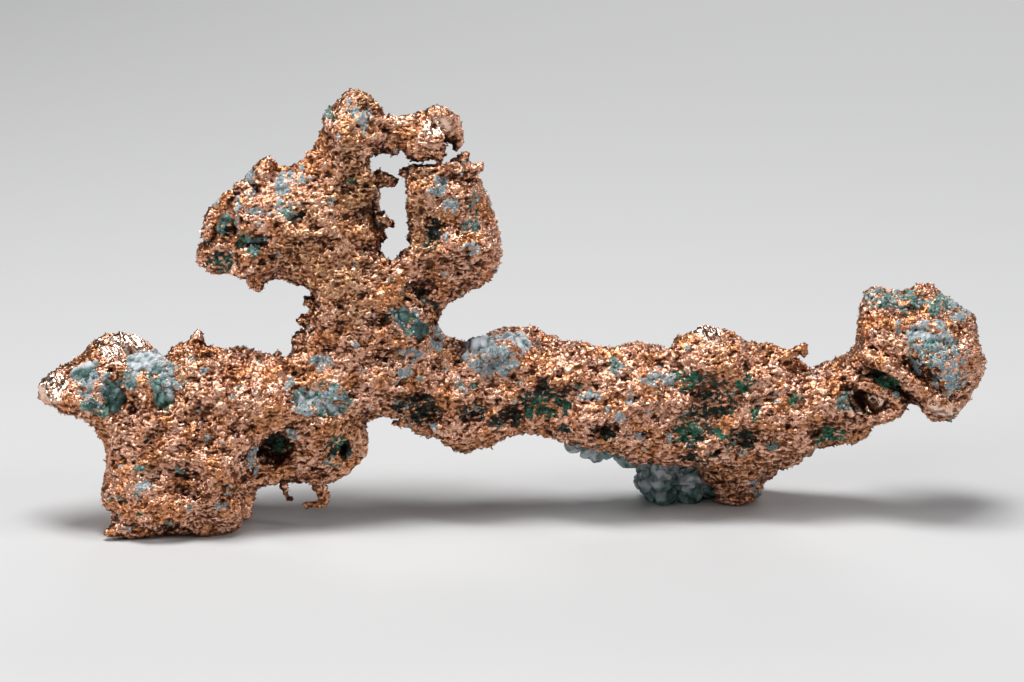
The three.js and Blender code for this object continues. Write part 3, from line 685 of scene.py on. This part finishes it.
# How shut in each corner is: the share of rays that meet the rough skin within reach, plus painted shade on
# the faces that look down. The copper finish darkens with it: painted shade in the hollows and under the
# lobes, with some real tarnish.
def markHollows(mesh, tree, rays):
    points, normals = readPoints(mesh), readNormals(mesh)
    starts = ((points + normals * hollows["start"]) * mm).tolist()
    reach = hollows["reach"] * mm
    rng = np.random.default_rng(41)
    hits = np.zeros(len(points))
    for turn in range(rays):
        way = rng.normal(size=(len(points), 3))
        way /= np.linalg.norm(way, axis=1)[:, None]
        way += normals * 1.05
        way /= np.linalg.norm(way, axis=1)[:, None]
        hits += [tree.ray_cast(start, aim, reach)[0] is not None for start, aim in zip(starts, way.tolist())]
    # Painted shade: faces that look down count as more hollow.
    hollow = hits / rays + hollows["undersideShade"] * smoothStep(0, 0.9, -normals[:, 2])
    ends = np.empty(len(mesh.edges) * 2, int)
    mesh.edges.foreach_get("vertices", ends)
    ends = ends.reshape(-1, 2)
    count = np.bincount(ends.ravel(), minlength=len(points)) + 1
    for turn in range(hollows["rounds"]):
        total = hollow + np.bincount(ends[:, 0], hollow[ends[:, 1]], len(points))
        total += np.bincount(ends[:, 1], hollow[ends[:, 0]], len(points))
        hollow = total / count
    writeValues(mesh, "hollow", hollow)


roughSkin, settled = buildRoughSkin()
print("rough skin:", len(roughSkin.polygons), "faces")
limbMeshes = {name: buildLimb(roughSkin, settled, bounds) for name, bounds in limbs.items()}
print("limbs:", {name: len(mesh.polygons) for name, mesh in limbMeshes.items()})
roughTree = treeOf(roughSkin, readPoints(roughSkin))
for mesh in limbMeshes.values():
    markHollows(mesh, roughTree, hollows["rays"])
print("hollows marked")


# A node tree with its sockets, given as the kind for each label.
def newTree(name, kind, inputs, outputs):
    tree = bpy.data.node_groups.new(name, kind)
    for way, sockets in (("INPUT", inputs), ("OUTPUT", outputs)):
        for label, socketKind in sockets.items():
            tree.interface.new_socket(label, in_out=way, socket_type="NodeSocket" + socketKind)
    return tree, tree.nodes.new("NodeGroupInput"), tree.nodes.new("NodeGroupOutput")


def addNode(tree, kind, **values):
    node = tree.nodes.new(kind)
    for key, value in values.items():
        if hasattr(node, key):
            setattr(node, key, value)
        else:
            node.inputs[key].default_value = value
    return node


def mathNode(tree, operation, first, second=None, third=None, clamp=False):
    node = tree.nodes.new("ShaderNodeMath")
    node.operation = operation
    node.use_clamp = clamp
    for socket, value in zip(node.inputs, (first, second, third)):
        if value is None:
            continue
        if isinstance(value, (int, float)):
            socket.default_value = value
        else:
            tree.links.new(value, socket)
    return node.outputs[0]


def mixColours(tree, share, first, second):
    node = tree.nodes.new("ShaderNodeMix")
    node.data_type = "RGBA"
    for socket, value in ((node.inputs[0], share), (node.inputs[6], first), (node.inputs[7], second)):
        if isinstance(value, (int, float, tuple)):
            socket.default_value = value
        else:
            tree.links.new(value, socket)
    return node.outputs[2]


def attributeValue(tree, name):
    node = tree.nodes.new("ShaderNodeAttribute")
    node.attribute_name = name
    return node.outputs["Fac"]


def ramp(tree, value, low, high):
    node = tree.nodes.new("ShaderNodeMapRange")
    node.interpolation_type = "SMOOTHSTEP"
    node.inputs["From Min"].default_value = low
    node.inputs["From Max"].default_value = high
    tree.links.new(value, node.inputs["Value"])
    return node.outputs[0]


# Two sizes of grain, for the height of a bump and for speckles of colour.
def makeGrainGroup():
    inputs = dict(Vector="Vector", Coarse="Float", Fine="Float")
    outputs = dict(Height="Float", Speckle="Float", Drift="Float", Zone="Float")
    tree, given, result = newTree("fineGrain", "ShaderNodeTree", inputs, outputs)
    link = tree.links.new
    folds = addNode(tree, "ShaderNodeTexNoise", noise_type="RIDGED_MULTIFRACTAL", Detail=2.0)
    dust = addNode(tree, "ShaderNodeTexNoise", Detail=3.0)
    drift = addNode(tree, "ShaderNodeTexNoise", Scale=420.0, Detail=2.0)
    zone = addNode(tree, "ShaderNodeTexNoise", Scale=95.0, Detail=2.0)
    for noise in (folds, dust, drift, zone):
        link(given.outputs["Vector"], noise.inputs["Vector"])
    link(given.outputs["Coarse"], folds.inputs["Scale"])
    link(given.outputs["Fine"], dust.inputs["Scale"])
    link(mathNode(tree, "MULTIPLY_ADD", dust.outputs[0], 0.4, folds.outputs[0]), result.inputs["Height"])
    for label, noise in (("Speckle", dust), ("Drift", drift), ("Zone", zone)):
        link(noise.outputs[0], result.inputs[label])
    return tree


grainGroup = makeGrainGroup()


def grainNode(tree, coarse, fine):
    node = tree.nodes.new("ShaderNodeGroup")
    node.node_tree = grainGroup
    node.inputs["Coarse"].default_value = coarse
    node.inputs["Fine"].default_value = fine
    place = tree.nodes.new("ShaderNodeTexCoord")
    tree.links.new(place.outputs["Object"], node.inputs["Vector"])
    return node


colours = dict(
    # The first colour is fresh bright metal on the foil and a painted highlight on the crests of the crumple.
    freshAndHighlight=(0.91, 0.63, 0.5, 1),
    rose=(0.84, 0.47, 0.33, 1),
    orange=(0.68, 0.29, 0.13, 1),
    gold=(0.6, 0.33, 0.17, 1),
    # Tarnish and oxide darken the crumple's valleys, the hollows and the undersides: partly real tarnish and
    # oxide, partly painted shade.
    tarnishShade=(0.3, 0.11, 0.045, 1),
    oxideShade=(0.05, 0.017, 0.008, 1),
    white=(0.59, 0.63, 0.66, 1),
    pale=(0.44, 0.52, 0.54, 1),
    paleDeep=(0.18, 0.25, 0.265, 1),
    teal=(0.05, 0.12, 0.105, 1),
    tealLight=(0.2, 0.35, 0.32, 1),
    tealDeep=(0.025, 0.07, 0.062, 1),
    # Near-black: partly dark crust and partly painted shadow in the caves.
    dark=(0.01, 0.02, 0.015, 1),
    darkEdge=(0.035, 0.06, 0.045, 1),
    emerald=(0.009, 0.055, 0.032, 1),
    emeraldLight=(0.045, 0.24, 0.14, 1),
)


def bumped(tree, shader, height, distance, strength):
    bump = tree.nodes.new("ShaderNodeBump")
    if isinstance(strength, float):
        bump.inputs["Strength"].default_value = strength
    else:
        tree.links.new(strength, bump.inputs["Strength"])
    bump.inputs["Distance"].default_value = distance * mm
    tree.links.new(height, bump.inputs["Height"])
    tree.links.new(bump.outputs["Normal"], shader.inputs["Normal"])


def newFinish(name):
    finish = bpy.data.materials.new(name)
    finish.use_nodes = True
    tree = finish.node_tree
    return finish, tree, tree.nodes["Principled BSDF"]


copper = dict(
    foldScale=3400.0, dustScale=7000.0,     # grains a metre
    crestHighlight=0.55,          # how strongly the crests get a painted highlight
    roughness=0.17, roughSpread=0.24,
    foilSmoother=0.04, oxideShadeRougher=0.3, crustRougher=0.45,
    oxideShadeDulls=0.45,       # share of the metal's shine that the oxide and painted shade in the crevices take
    bump=0.13, foilBump=0.25,               # mm, and the share of it on foil
)

# Each crust's deep and light colour, from the undermost crust up.
crustColours = dict(
    dark=("dark", "darkEdge"),
    teal=("teal", "tealLight"),
    pale=("paleDeep", "pale"),
    emerald=("emerald", "emeraldLight"),
)


def makeCopper():
    finish, tree, shader = newFinish("nativeCopper")
    grain = grainNode(tree, copper["foldScale"], copper["dustScale"])
    speckle = grain.outputs["Speckle"]
    hollow = attributeValue(tree, "hollow")
    foil = attributeValue(tree, "foil")
    drift = ramp(tree, grain.outputs["Drift"], 0.42, 0.62)
    metal = mixColours(tree, drift, colours["rose"], colours["orange"])
    metal = mixColours(tree, ramp(tree, grain.outputs["Zone"], 0.53, 0.75), metal, colours["gold"])
    crest = attributeValue(tree, "crest")
    # Painted highlight: the crests of the crumple are mixed towards the pale fresh colour.
    highlighted = mathNode(tree, "MULTIPLY", ramp(tree, crest, 0.7, 1.0), copper["crestHighlight"])
    metal = mixColours(tree, mathNode(tree, "MAXIMUM", foil, highlighted), metal, colours["freshAndHighlight"])
    spared = mathNode(tree, "MULTIPLY_ADD", foil, -0.35, 1.0)      # foil gets less tarnish and painted shade in its valleys
    # Painted shade with some real tarnish: the valleys of the crumple, the hollows and the undersides go
    # brown.
    low = mathNode(tree, "MULTIPLY", mathNode(tree, "SUBTRACT", 1.0, crest), spared)
    shut = mathNode(tree, "MULTIPLY_ADD", low, 0.75, hollow)
    metal = mixColours(tree, ramp(tree, shut, 0.28, 0.82), metal, colours["tarnishShade"])
    # The darkest crevices are painted near-black, partly oxide and partly painted shade; there the metal also
    # loses shine and grows rougher.
    oxideAndShade = ramp(tree, mathNode(tree, "MULTIPLY_ADD", speckle, 0.5, shut), 0.82, 1.25)
    colour = mixColours(tree, oxideAndShade, metal, colours["oxideShade"])
    cover = None
    for kind, (deep, light) in crustColours.items():
        amount = mathNode(tree, "MULTIPLY_ADD", speckle, 0.9, attributeValue(tree, kind))
        mask = ramp(tree, amount, 0.82, 1.02)
        share = ramp(tree, speckle, 0.38, 0.62)
        crust = mixColours(tree, share, colours[deep], colours[light])
        colour = mixColours(tree, mask, colour, crust)
        cover = mask if cover is None else mathNode(tree, "MAXIMUM", cover, mask)
    tree.links.new(colour, shader.inputs["Base Color"])
    bare = mathNode(tree, "SUBTRACT", 1.0, cover, clamp=True)
    shineLeft = mathNode(tree, "MULTIPLY_ADD", oxideAndShade, -copper["oxideShadeDulls"], 1.0)
    shine = mathNode(tree, "MULTIPLY", bare, shineLeft)
    tree.links.new(shine, shader.inputs["Metallic"])
    rough = mathNode(tree, "MULTIPLY_ADD", speckle, copper["roughSpread"], copper["roughness"])
    rough = mathNode(tree, "MULTIPLY_ADD", foil, -copper["foilSmoother"], rough)
    rough = mathNode(tree, "MULTIPLY_ADD", oxideAndShade, copper["oxideShadeRougher"], rough)
    rough = mathNode(tree, "MULTIPLY_ADD", cover, copper["crustRougher"], rough, clamp=True)
    tree.links.new(rough, shader.inputs["Roughness"])
    strength = mathNode(tree, "MULTIPLY_ADD", foil, copper["foilBump"] - 1.0, 1.0)
    bumped(tree, shader, grain.outputs["Height"], copper["bump"], strength)
    return finish


# Each mineral's lit and shaded colour (a painted highlight on the bead tops, painted shade between them), the
# deep and light colour of the darker teal towards each grain's bottom (painted shade, and a real green stain
# on the stained grains), and how rough it is.
minerals = dict(
    paleCalcite=("white", "paleDeep", "teal", "tealLight", 0.36),
    stainedCalcite=("white", "paleDeep", "tealDeep", "teal", 0.4),
    malachite=("emeraldLight", "emerald", "dark", "darkEdge", 0.5),
)


def makeMineral(name):
    light, deep, stainAndShade, stainAndShadeLight, rough = minerals[name]
    finish, tree, shader = newFinish(name)
    grain = grainNode(tree, 2400.0, 4200.0)
    # Painted highlight and shade: bead tops are mixed towards the light colour, the gaps towards the deep
    # one.
    lit = mathNode(tree, "MULTIPLY_ADD", grain.outputs["Speckle"], 0.5, attributeValue(tree, "crest"))
    colour = mixColours(tree, ramp(tree, lit, 0.4, 1.2), colours[deep], colours[light])
    # Darker teal towards the bottom: painted shade, and a green stain on the stained grains.
    stainAndShadeColour = mixColours(tree, ramp(tree, lit, 0.5, 1.3), colours[stainAndShade], colours[stainAndShadeLight])
    colour = mixColours(tree, attributeValue(tree, "stainAndShade"), colour, stainAndShadeColour)
    tree.links.new(colour, shader.inputs["Base Color"])
    shader.inputs["Roughness"].default_value = rough
    bumped(tree, shader, grain.outputs["Height"], 0.08, 0.6)
    return finish


copperFinish = makeCopper()
calciteFinish = makeMineral("paleCalcite")
stainedFinish = makeMineral("stainedCalcite")
greenFinish = makeMineral("malachite")
print("finishes made")

for name, mesh in limbMeshes.items():
    mesh.materials.clear()
    mesh.materials.append(copperFinish)
    limb = addToScene("copper_" + name, mesh)
    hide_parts("copper")
    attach(limb, "root")


# A closed chip with a jagged rim, growing along x from the origin.
def flakeShape(name, rim, length, width, thickness, bend, seed):
    rng = np.random.default_rng(seed)
    points = []
    for i in range(rim):
        turn = 2 * math.pi * (i + rng.uniform(-0.25, 0.25)) / rim
        reach = rng.uniform(0.65, 1.1)
        x = 0.42 * length + 0.5 * length * reach * math.cos(turn)
        y = 0.5 * width * reach * math.sin(turn)
        points.append([x, y, bend * x * x + rng.uniform(-0.3, 0.3) * thickness])
    x = 0.42 * length
    points.append([x, rng.uniform(-0.1, 0.1) * width, bend * x * x + thickness / 2])
    points.append([x, rng.uniform(-0.1, 0.1) * width, bend * x * x - thickness / 2])
    faces = []
    for i in range(rim):
        j = (i + 1) % rim
        faces += [(i, j, rim), (j, i, rim + 1)]
    mesh = bpy.data.meshes.new(name)
    mesh.from_pydata([Vector(p) * mm for p in points], [], faces)
    return bpy.data.objects.new(name, mesh)


# Corners on the rim, length, width and thickness in mm, how it bends, seed.
flakes = dict(
    leaf=(6, 1.0, 0.55, 0.12, 0.35, 60),
    chip=(5, 0.7, 0.6, 0.2, 0.2, 70),
    blade=(4, 1.2, 0.28, 0.16, -0.25, 80),
    crumb=(4, 0.5, 0.45, 0.4, 0, 90),
)


def makeFlakeShapes():
    shapes = bpy.data.collections.new("flakeShapes")
    bpy.context.scene.collection.children.link(shapes)
    for i in range(3):
        for name, (rim, length, width, thickness, bend, seed) in flakes.items():
            flake = flakeShape(f"{name}{i}", rim, length, width, thickness, bend, seed + i)
            shapes.objects.link(flake)
    return shapes


def scatterTree():
    inputs = {
        "Geometry": "Geometry", "Shapes": "Collection", "Finish": "Material", "Density": "Float",
        "Smallest": "Float", "Largest": "Float", "Tilt": "Float", "Seed": "Int",
        "Low Corner": "Vector", "High Corner": "Vector", "Where": "String",
    }
    tree, given, result = newTree("scatterShapes", "GeometryNodeTree", inputs, dict(Geometry="Geometry"))
    link = tree.links.new

    place = tree.nodes.new("GeometryNodeInputPosition")
    inside = addNode(tree, "FunctionNodeBooleanMath", operation="AND")
    ends = (("Low Corner", "GREATER_EQUAL"), ("High Corner", "LESS_THAN"))
    for i, (corner, operation) in enumerate(ends):
        test = addNode(tree, "FunctionNodeCompare", data_type="VECTOR", mode="ELEMENT", operation=operation)
        link(place.outputs[0], test.inputs[4])
        link(given.outputs[corner], test.inputs[5])
        link(test.outputs[0], inside.inputs[i])

    where = addNode(tree, "GeometryNodeInputNamedAttribute", data_type="FLOAT")
    link(given.outputs["Where"], where.inputs["Name"])
    points = addNode(tree, "GeometryNodeDistributePointsOnFaces", distribute_method="RANDOM")
    link(given.outputs["Geometry"], points.inputs["Mesh"])
    link(inside.outputs[0], points.inputs["Selection"])
    link(mathNode(tree, "MULTIPLY", given.outputs["Density"], where.outputs[0]), points.inputs["Density"])
    link(given.outputs["Seed"], points.inputs["Seed"])

    spin = addNode(tree, "FunctionNodeRandomValue", data_type="FLOAT_VECTOR")
    low = tree.nodes.new("ShaderNodeCombineXYZ")
    high = tree.nodes.new("ShaderNodeCombineXYZ")
    for end, axis, share in ((low, 0, -1.0), (low, 1, -1.25), (high, 0, 1.0), (high, 1, 0.15)):
        link(mathNode(tree, "MULTIPLY", given.outputs["Tilt"], share), end.inputs[axis])
    low.inputs[2].default_value = -math.pi
    high.inputs[2].default_value = math.pi
    link(low.outputs[0], spin.inputs[0])
    link(high.outputs[0], spin.inputs[1])
    link(given.outputs["Seed"], spin.inputs["Seed"])
    asTurn = tree.nodes.new("FunctionNodeEulerToRotation")
    link(spin.outputs[0], asTurn.inputs[0])
    turned = addNode(tree, "FunctionNodeRotateRotation", rotation_space="LOCAL")
    link(points.outputs["Rotation"], turned.inputs[0])
    link(asTurn.outputs[0], turned.inputs[1])

    size = addNode(tree, "FunctionNodeRandomValue", data_type="FLOAT")
    link(given.outputs["Smallest"], size.inputs[2])
    link(given.outputs["Largest"], size.inputs[3])
    link(mathNode(tree, "ADD", given.outputs["Seed"], 3), size.inputs["Seed"])
    apart = {"Separate Children": True, "Reset Children": True}
    shapes = addNode(tree, "GeometryNodeCollectionInfo", **apart)
    link(given.outputs["Shapes"], shapes.inputs["Collection"])
    copies = addNode(tree, "GeometryNodeInstanceOnPoints", **{"Pick Instance": True})
    link(points.outputs["Points"], copies.inputs["Points"])
    link(shapes.outputs[0], copies.inputs["Instance"])
    link(turned.outputs[0], copies.inputs["Rotation"])
    link(size.outputs[1], copies.inputs["Scale"])
    shade = addNode(tree, "FunctionNodeRandomValue", data_type="FLOAT")
    link(mathNode(tree, "ADD", given.outputs["Seed"], 5), shade.inputs["Seed"])
    perCopy = dict(data_type="FLOAT", domain="INSTANCE", Name="crest")
    stored = addNode(tree, "GeometryNodeStoreNamedAttribute", **perCopy)
    link(copies.outputs[0], stored.inputs["Geometry"])
    link(shade.outputs[1], stored.inputs["Value"])
    solid = tree.nodes.new("GeometryNodeRealizeInstances")
    link(stored.outputs[0], solid.inputs[0])
    painted = tree.nodes.new("GeometryNodeSetMaterial")
    link(solid.outputs[0], painted.inputs["Geometry"])
    link(given.outputs["Finish"], painted.inputs["Material"])
    link(painted.outputs[0], result.inputs["Geometry"])
    return tree


# A plain mesh of what a node tree grows on a host.
def grownPiece(name, hostMesh, tree, values):
    host = addToScene("host", hostMesh)
    grow = host.modifiers.new("grow", "NODES")
    grow.node_group = tree
    for item in tree.interface.items_tree:
        if item.in_out == "INPUT" and item.name in values:
            grow[item.identifier] = values[item.name]
    mesh = evaluatedMesh(host)
    bpy.data.objects.remove(host)
    print(name, "has", len(mesh.polygons), "faces")
    return addToScene(name, mesh)


def makeCrumbShapes():
    shapes = bpy.data.collections.new("crumbShapes")
    bpy.context.scene.collection.children.link(shapes)
    rng = np.random.default_rng(77)
    for i in range(4):
        shape = bmesh.new()
        bmesh.ops.create_icosphere(shape, subdivisions=1, radius=0.5 * mm)
        for corner in shape.verts:
            corner.co *= rng.uniform(0.7, 1.2)
            corner.co.z *= 0.75
        shapes.objects.link(bpy.data.objects.new(f"crumb{i}", asMesh(shape, f"crumb{i}")))
    return shapes


# What is scattered: shapes, finish, slot, the mask it follows, how many a square mm,
# the smallest and largest size in mm, tilt in radians.
scatters = dict(
    copper_flakes=(makeFlakeShapes(), copperFinish, "copper", "bare", 4.5, 0.14, 0.4, 0.9),
    pale_crumbs=(makeCrumbShapes(), calciteFinish, "calcite", "palePlace", 3.0, 0.2, 0.5, 3.0),
    green_grains=(makeCrumbShapes(), greenFinish, "stained_calcite", "greenPlace", 4.5, 0.15, 0.4, 3.0),
)
tree = scatterTree()
seed = 7
for kind, (shapes, finish, slotName, where, density, smallest, largest, tilt) in scatters.items():
    for name, (left, right, bottom, top) in limbs.items():
        seed += 1
        values = {
            "Shapes": shapes, "Finish": finish, "Where": where, "Density": density / mm ** 2,
            "Smallest": smallest, "Largest": largest, "Tilt": tilt, "Seed": seed,
            "Low Corner": (left * mm, -1.0, max(bottom, 0.5) * mm),
            "High Corner": (right * mm, 1.0, top * mm),
        }
        piece = grownPiece(kind + "_" + name, limbMeshes[name], tree, values)
        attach(piece, "root")
    for thing in list(shapes.objects):
        deleteThing(thing)
    bpy.data.collections.remove(shapes)


calcite = dict(
    voxel=0.13,           # mm
    ironing=8,            # rounds of smoothing
    swell=0.4,            # mm that a seated grain is larger than the frame's
    sunk=1.75,            # mm that it sits deeper in the metal
    lumpHeight=0.6, lumpSpan=1.7,
    grainHeight=0.8, grainSpan=0.7,
    beadHeight=0.5, beadSpan=0.36,
    blockHeight=0.55, blockSpan=2.6,
    slope=0.35,           # how far the small faces tilt
)
stained = ("calcite_snout", "calcite_neck")
# How far the darker teal climbs up each grain, as painted shade towards the bottom and a green stain on the
# stained grains: 0 is half way.
stainAndShadeLift = dict(
    calcite_snout=0.9, calcite_neck=1.3, calcite_shoulder=0.45, calcite_lower_lobe=0.3,
    calcite_bar=-0.4, calcite_head=-0.1, calcite_under_bar=-0.1, calcite_behind_foot=-0.1,
)


def buildCalcite(node, seed):
    mesh = remeshed(cleanMesh(frame["nodes"][node].data, "grain"), calcite["voxel"])
    mesh = ironed(mesh, calcite["ironing"])
    points, normals = readPoints(mesh), readNormals(mesh)
    bent = points + 0.25 * softShift(points, 0.9, (seed + 1, seed + 2, seed + 3))
    tilt, middle = cellNoise(bent, calcite["grainSpan"], seed)[:2]
    beadTilt, beadMiddle = cellNoise(bent, calcite["beadSpan"], seed + 4)[:2]
    beads = calcite["grainHeight"] * (0.4 - middle) + calcite["beadHeight"] * (0.2 - beadMiddle)
    beads += calcite["slope"] * (tilt + beadTilt)
    heights = calcite["lumpHeight"] * softNoise(points, calcite["lumpSpan"], seed) + beads
    if node in hanging:      # these stand free, so they are broken into larger blocks
        block, blockMiddle, blockRim = cellNoise(bent, calcite["blockSpan"], seed + 7)
        heights += calcite["blockHeight"] * (1 - blockMiddle) + calcite["slope"] * block
        heights += 0.5 * smoothStep(0, 0.5, blockRim) - 0.4 * beads
    if node in seatedGrains:
        heights += calcite["swell"]
    points = points + normals * heights[:, None]
    points[:, 0] += grainShift.get(node, 0)
    if node in seatedGrains:
        points[:, 1] += calcite["sunk"]
    points[:, 2] = np.maximum(points[:, 2], 0.03)
    writePoints(mesh, points)
    # Crest marks the bead tops for a painted highlight and the gaps for painted shade.
    writeValues(mesh, "crest", smoothStep(-0.25, 0.25, beads + 0.25 * softNoise(points, 0.8, seed + 5)))
    # Darker teal towards the bottom of each grain: painted shade below, and a green stain that climbs higher
    # on the stained grains.
    bottom, top = points[:, 2].min(), points[:, 2].max()
    middleHeight = (top + bottom) / 2
    halfHeight = (top - bottom) / 2
    sag = (middleHeight - points[:, 2]) / halfHeight + 0.9 * softNoise(points, 1.6, seed + 6)
    writeValues(mesh, "stainAndShade", smoothStep(-0.1, 0.7, sag + stainAndShadeLift[node]))
    mesh.materials.clear()
    mesh.materials.append(stainedFinish if node in stained else calciteFinish)
    piece = addToScene(node + "_crystals", mesh)
    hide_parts(node)
    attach(piece, "root")


for i, node in enumerate(grains):
    buildCalcite(node, 100 + 5 * i)
print("calcite made")
